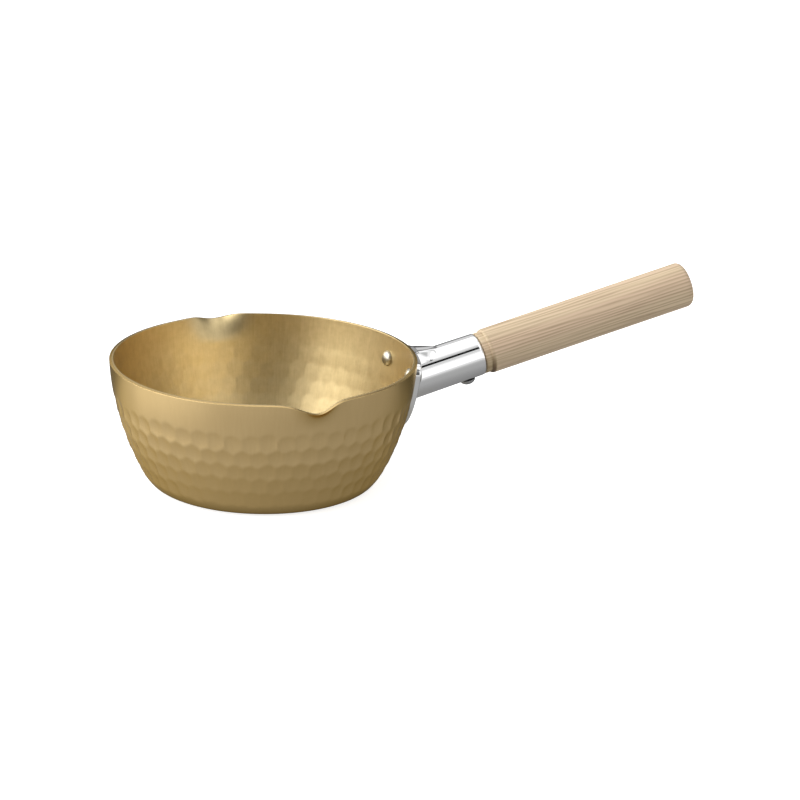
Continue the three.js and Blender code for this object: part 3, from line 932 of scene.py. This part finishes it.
def make_wood(wood):
    tenon = TUBE_MOUTH_RADIUS - TUBE_WALL - SEAT_GAP
    tenon_end = TUBE_LENGTH - TENON_LENGTH
    neck = TUBE_MOUTH_RADIUS - NECK_INSET
    round_start = grip_end - GRIP_END_DOME - GRIP_END_ROUND
    face = GRIP_END_RADIUS - GRIP_END_ROUND
    profile = [(tenon_end, 0), (tenon_end, tenon - 2 * WOOD_EASE)]
    profile += [(tenon_end + 2 * WOOD_EASE, tenon), (neck_start, tenon)]
    profile += [(neck_start, neck - WOOD_EASE), (neck_start + WOOD_EASE, neck)]
    shoulder = quarter_arc(grip_start, neck, -SHOULDER_LENGTH, GRIP_START_RADIUS - neck, SHOULDER_STEPS)
    profile += shoulder[::-1]
    for share in (0.25, 0.5, 0.75):
        along = grip_start + (round_start - grip_start) * share
        profile.append((along, GRIP_START_RADIUS + (GRIP_END_RADIUS - GRIP_START_RADIUS) * share))
    profile += quarter_arc(round_start, face, GRIP_END_ROUND, GRIP_END_ROUND, GRIP_END_STEPS)
    for share in (0.75, 0.5, 0.25, 0):
        profile.append((grip_end - GRIP_END_DOME * share ** 2, face * share))
    return solid("wooden_grip", turned("grip", profile, WOOD_SIDES, handle_frame), wood, SHARP_WOOD_EDGE)


def drive_bar(place, top, half_y, half_z):
    """One bar of the cross that is cut into the screw's head."""
    bar = bmesh.new()
    bmesh.ops.create_cube(bar, size=2)
    bmesh.ops.scale(bar, vec=(DRIVE_DEPTH, half_y, half_z), verts=bar.verts)
    bmesh.ops.translate(bar, vec=(top, 0, 0), verts=bar.verts)
    bmesh.ops.transform(bar, matrix=place, verts=bar.verts)
    mesh = bpy.data.meshes.new("drive_bar")
    bar.to_mesh(mesh)
    bar.free()
    cutter = bpy.data.objects.new("drive_bar", mesh)
    bpy.context.collection.objects.link(cutter)
    return cutter


def make_screw(steel):
    along = TUBE_LENGTH - SCREW_FROM_MOUTH
    place = handle_frame @ Matrix.Translation((along, 0, 0)) @ Matrix.Rotation(pi / 2, 4, "Y")
    seat = tube_radius(along) + SEAT_GAP / 4
    tip = seat - SCREW_LENGTH
    profile = [(tip, 0), (tip + 2 * SCREW_RADIUS, SCREW_RADIUS), (seat, SCREW_RADIUS)]
    profile += quarter_arc(seat, 0, SCREW_HEAD_HEIGHT, SCREW_HEAD_RADIUS, SCREW_HEAD_STEPS)
    plain = solid("plain_screw", turned("screw", profile, SCREW_SIDES, place), steel)
    cutters = []
    for half_y, half_z in ((DRIVE_REACH, DRIVE_WIDTH / 2), (DRIVE_WIDTH / 2, DRIVE_REACH)):
        cutter = drive_bar(place, seat + SCREW_HEAD_HEIGHT, half_y, half_z)
        cut = plain.modifiers.new("drive", "BOOLEAN")
        cut.operation = "DIFFERENCE"
        cut.object = cutter
        cutters.append(cutter)
    depsgraph = bpy.context.evaluated_depsgraph_get()
    mesh = bpy.data.meshes.new_from_object(plain.evaluated_get(depsgraph), depsgraph=depsgraph)
    plain.modifiers.clear()
    for part in cutters + [plain]:
        bpy.data.objects.remove(part)
    return solid("round_head_screw", mesh, steel)


# Studio

def photo_camera():
    data = bpy.data.cameras.new("photo_camera")
    data.lens = LENS
    data.sensor_width = SENSOR
    data.clip_end = CAMERA_REACH
    turn = (
        Matrix.Rotation(CAMERA_AZIMUTH, 4, "Z")
        @ Matrix.Rotation(pi / 2 - CAMERA_ELEVATION, 4, "X")
        @ Matrix.Rotation(CAMERA_ROLL, 4, "Z")
    )
    focal_pixels = LENS / SENSOR * PHOTO_PIXELS
    across = (AIM_PIXEL[0] - PHOTO_PIXELS / 2) / focal_pixels
    up = (PHOTO_PIXELS / 2 - AIM_PIXEL[1]) / focal_pixels
    sight = turn @ Vector((across, up, -1)).normalized()
    aim = Vector((0, 0, BOWL_HEIGHT / 2))
    camera = bpy.data.objects.new("photo_camera", data)
    camera.matrix_world = Matrix.Translation(aim - sight * CAMERA_DISTANCE) @ turn
    bpy.context.collection.objects.link(camera)
    bpy.context.scene.camera = camera


def pale_floor():
    """White to the camera. In the metal it shows painted shade and light: a painted shadow of the pan, dim
    under it and darkest at its base, paler further out, darker behind, painted light palest on the left, and
    a painted warm glow of light thrown back from the bowl.
    """
    material, tree = new_material("pale_floor")
    place = object_place(tree)
    flat = place.vector("MULTIPLY", (1, 1, 0))
    from_bowl = flat.vector("LENGTH", output="Value")
    past_end = (place.part(0) - (anchor_radius + grip_end / 2)).math("ABSOLUTE") - grip_end / 2
    past_end = past_end.math("MAXIMUM", 0)
    from_handle = (past_end * past_end + place.part(1) * place.part(1)) ** 0.5
    near = from_handle.math("MINIMUM", from_bowl - base_radius)
    left = flat.vector("NORMALIZE").dot((-cos(CAMERA_AZIMUTH), -sin(CAMERA_AZIMUTH), 0))
    back = place.dot((-sin(CAMERA_AZIMUTH), cos(CAMERA_AZIMUTH), 0))

    # Painted shade and light on the floor as the metal sees it.
    behind = smooth_step(back, 40 * MM, 160 * MM)
    beside = smooth_step(left, 0.3, 0.9) * (1 - smooth_step(back, -30 * MM, 30 * MM))
    beside = beside * smooth_step(near, 60 * MM, 160 * MM)
    # Painted contact shadow round the bowl's base.
    clear = smooth_step(from_bowl, base_radius - 4 * MM, base_radius + 16 * MM)
    level = FLOOR_UNDER + FLOOR_NEAR * smooth_step(near, -10 * MM, 100 * MM)
    level = level + FLOOR_FAR * smooth_step(near, 100 * MM, 600 * MM)
    level = level * (1 - FLOOR_BEHIND * behind) * (1 + FLOOR_LEFT * beside)
    level = level * (1 - FLOOR_CONTACT_SHADOW + FLOOR_CONTACT_SHADOW * clear)
    straight, slope, curve = FLOOR_LEFTWARDS
    level = level * (straight + slope * left + curve * left * left)

    # Painted warm glow: light thrown back from the gold bowl onto the floor.
    painted_bounce = mix_colours(smooth_step(from_bowl, base_radius, base_radius + 90 * MM), PAINTED_BOUNCE_GLOW, WHITE)
    painted_reflection = Wire.make(tree, "ShaderNodeEmission", {}, {"Color": painted_bounce, "Strength": level})
    camera = Wire.make(tree, "ShaderNodeLightPath", output="Is Camera Ray")
    glossy = Wire.make(tree, "ShaderNodeLightPath", output="Is Glossy Ray")
    lit = Wire.make(tree, "ShaderNodeBsdfDiffuse", {}, {"Color": grey(FLOOR_COLOUR)})
    white = Wire.make(tree, "ShaderNodeEmission", {}, {"Color": WHITE, "Strength": FLOOR_WHITE * camera})
    seen = Wire.make(tree, "ShaderNodeAddShader", {}, {0: lit, 1: white})
    surface(tree, Wire.make(tree, "ShaderNodeMixShader", {}, {0: glossy, 1: seen, 2: painted_reflection}))

    corners = [(x * FLOOR_HALF, y * FLOOR_HALF, 0) for x, y in ((-1, -1), (1, -1), (1, 1), (-1, 1))]
    mesh = bpy.data.meshes.new("floor")
    mesh.from_pydata(corners, [], [(0, 1, 2, 3)])
    mesh.materials.append(material)
    floor = bpy.data.objects.new("floor", mesh)
    floor.location.z = -FLOOR_DROP
    bpy.context.collection.objects.link(floor)


def studio_world():
    """Soft panels round the pan, white to the camera. Bearing runs from the photograph's camera to the right
    and rise from the horizon, both in degrees."""
    world = bpy.data.worlds.new("studio")
    world.use_nodes = True
    tree = world.node_tree
    tree.nodes.clear()
    direction = Wire.make(tree, "ShaderNodeTexCoord", output="Generated")
    side = direction.dot((cos(CAMERA_AZIMUTH), sin(CAMERA_AZIMUTH), 0))
    toward = direction.dot((sin(CAMERA_AZIMUTH), -cos(CAMERA_AZIMUTH), 0))
    bearing = side.math("ARCTAN2", toward) * (180 / pi)
    rise = direction.part(2).math("ARCSINE") * (180 / pi)
    behind = smooth_step(bearing.math("ABSOLUTE"), 128, 150)

    left_box = window(bearing, -126, -39, 15) * window(rise, -8, 56, 8)
    front_box = window(bearing, -34, 24, 8) * window(rise, 31, 52, 7)
    upper_right = window(bearing, 56, 116, 8) * smooth_step(rise, 17, 26)
    right_box = window(bearing, 25, 110, 4) * (1 - 0.6 * upper_right)
    right_box = right_box * smooth_step(rise, -24, -4) * (1 - smooth_step(rise, 45.5, 49.5))
    overhead = smooth_step(rise, 72, 82).math("MAXIMUM", window(bearing, -4, 122, 8))
    top_box = (0.5 + 0.5 * overhead) * smooth_step(rise, 40, 54) * (1 - behind)
    top_box = top_box + behind * smooth_step(rise, 33, 47)
    backdrop = behind * window(rise, 15, 28, 4) * (1 - 0.5 * smooth_step(side, 0.03, 0.1))
    rear_box = behind * window(rise, 29, 36, 4) * (1 - smooth_step(side, -0.1, -0.02))
    gap = window(rise, GAP_LOW, GAP_HIGH, 1.5) * window(bearing, 20, 38, 5)
    off_gap = (rise - (GAP_LOW + GAP_HIGH) / 2).math("ABSOLUTE")
    shaded = (1 - smooth_step(off_gap, 9, 27)) * window(bearing, 18, 40, 6)

    level = STUDIO_FILL + LEFT_BOX * left_box + FRONT_BOX * front_box + RIGHT_BOX * right_box
    level = level + TOP_BOX * top_box + BACKDROP * backdrop + REAR_BOX * rear_box
    level = level * (1 - gap) * (1 - GAP_SHADE * shaded)
    camera = Wire.make(tree, "ShaderNodeLightPath", output="Is Camera Ray")
    strength = level * (1 - camera) + camera
    background = Wire.make(tree, "ShaderNodeBackground", {}, {"Color": WHITE, "Strength": strength})
    Wire.make(tree, "ShaderNodeOutputWorld", {}, {"Surface": background})
    bpy.context.scene.world = world


photo_camera()
pale_floor()
studio_world()

gold = gold_aluminium()
polished = polished_metal("polished_aluminium", 0.05, POLISHED_COLOUR)
bright = polished_metal("rivet_aluminium", 0.32, RIVET_GREY_AND_GOLD_REFLECTION)
steel = polished_metal("screw_steel", 0.25, SCREW_COLOUR)
wood = pale_wood()

pieces = [
    (make_bowl(gold), "gold_aluminium", ["pan_bowl"]),
    (make_socket(polished), "polished_aluminium", ["handle_socket"]),
    (make_rivets(bright), "rivet_aluminium", ["rivet_upper_left", "rivet_upper_right", "rivet_lower"]),
    (make_wood(wood), "pale_wood", ["wooden_handle"]),
    (make_screw(steel), "screw_steel", ["handle_screw"]),
]
for piece, slot, nodes in pieces:
    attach(piece, "root")
    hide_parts(*nodes)

bpy.context.scene.view_settings.view_transform = "Standard"
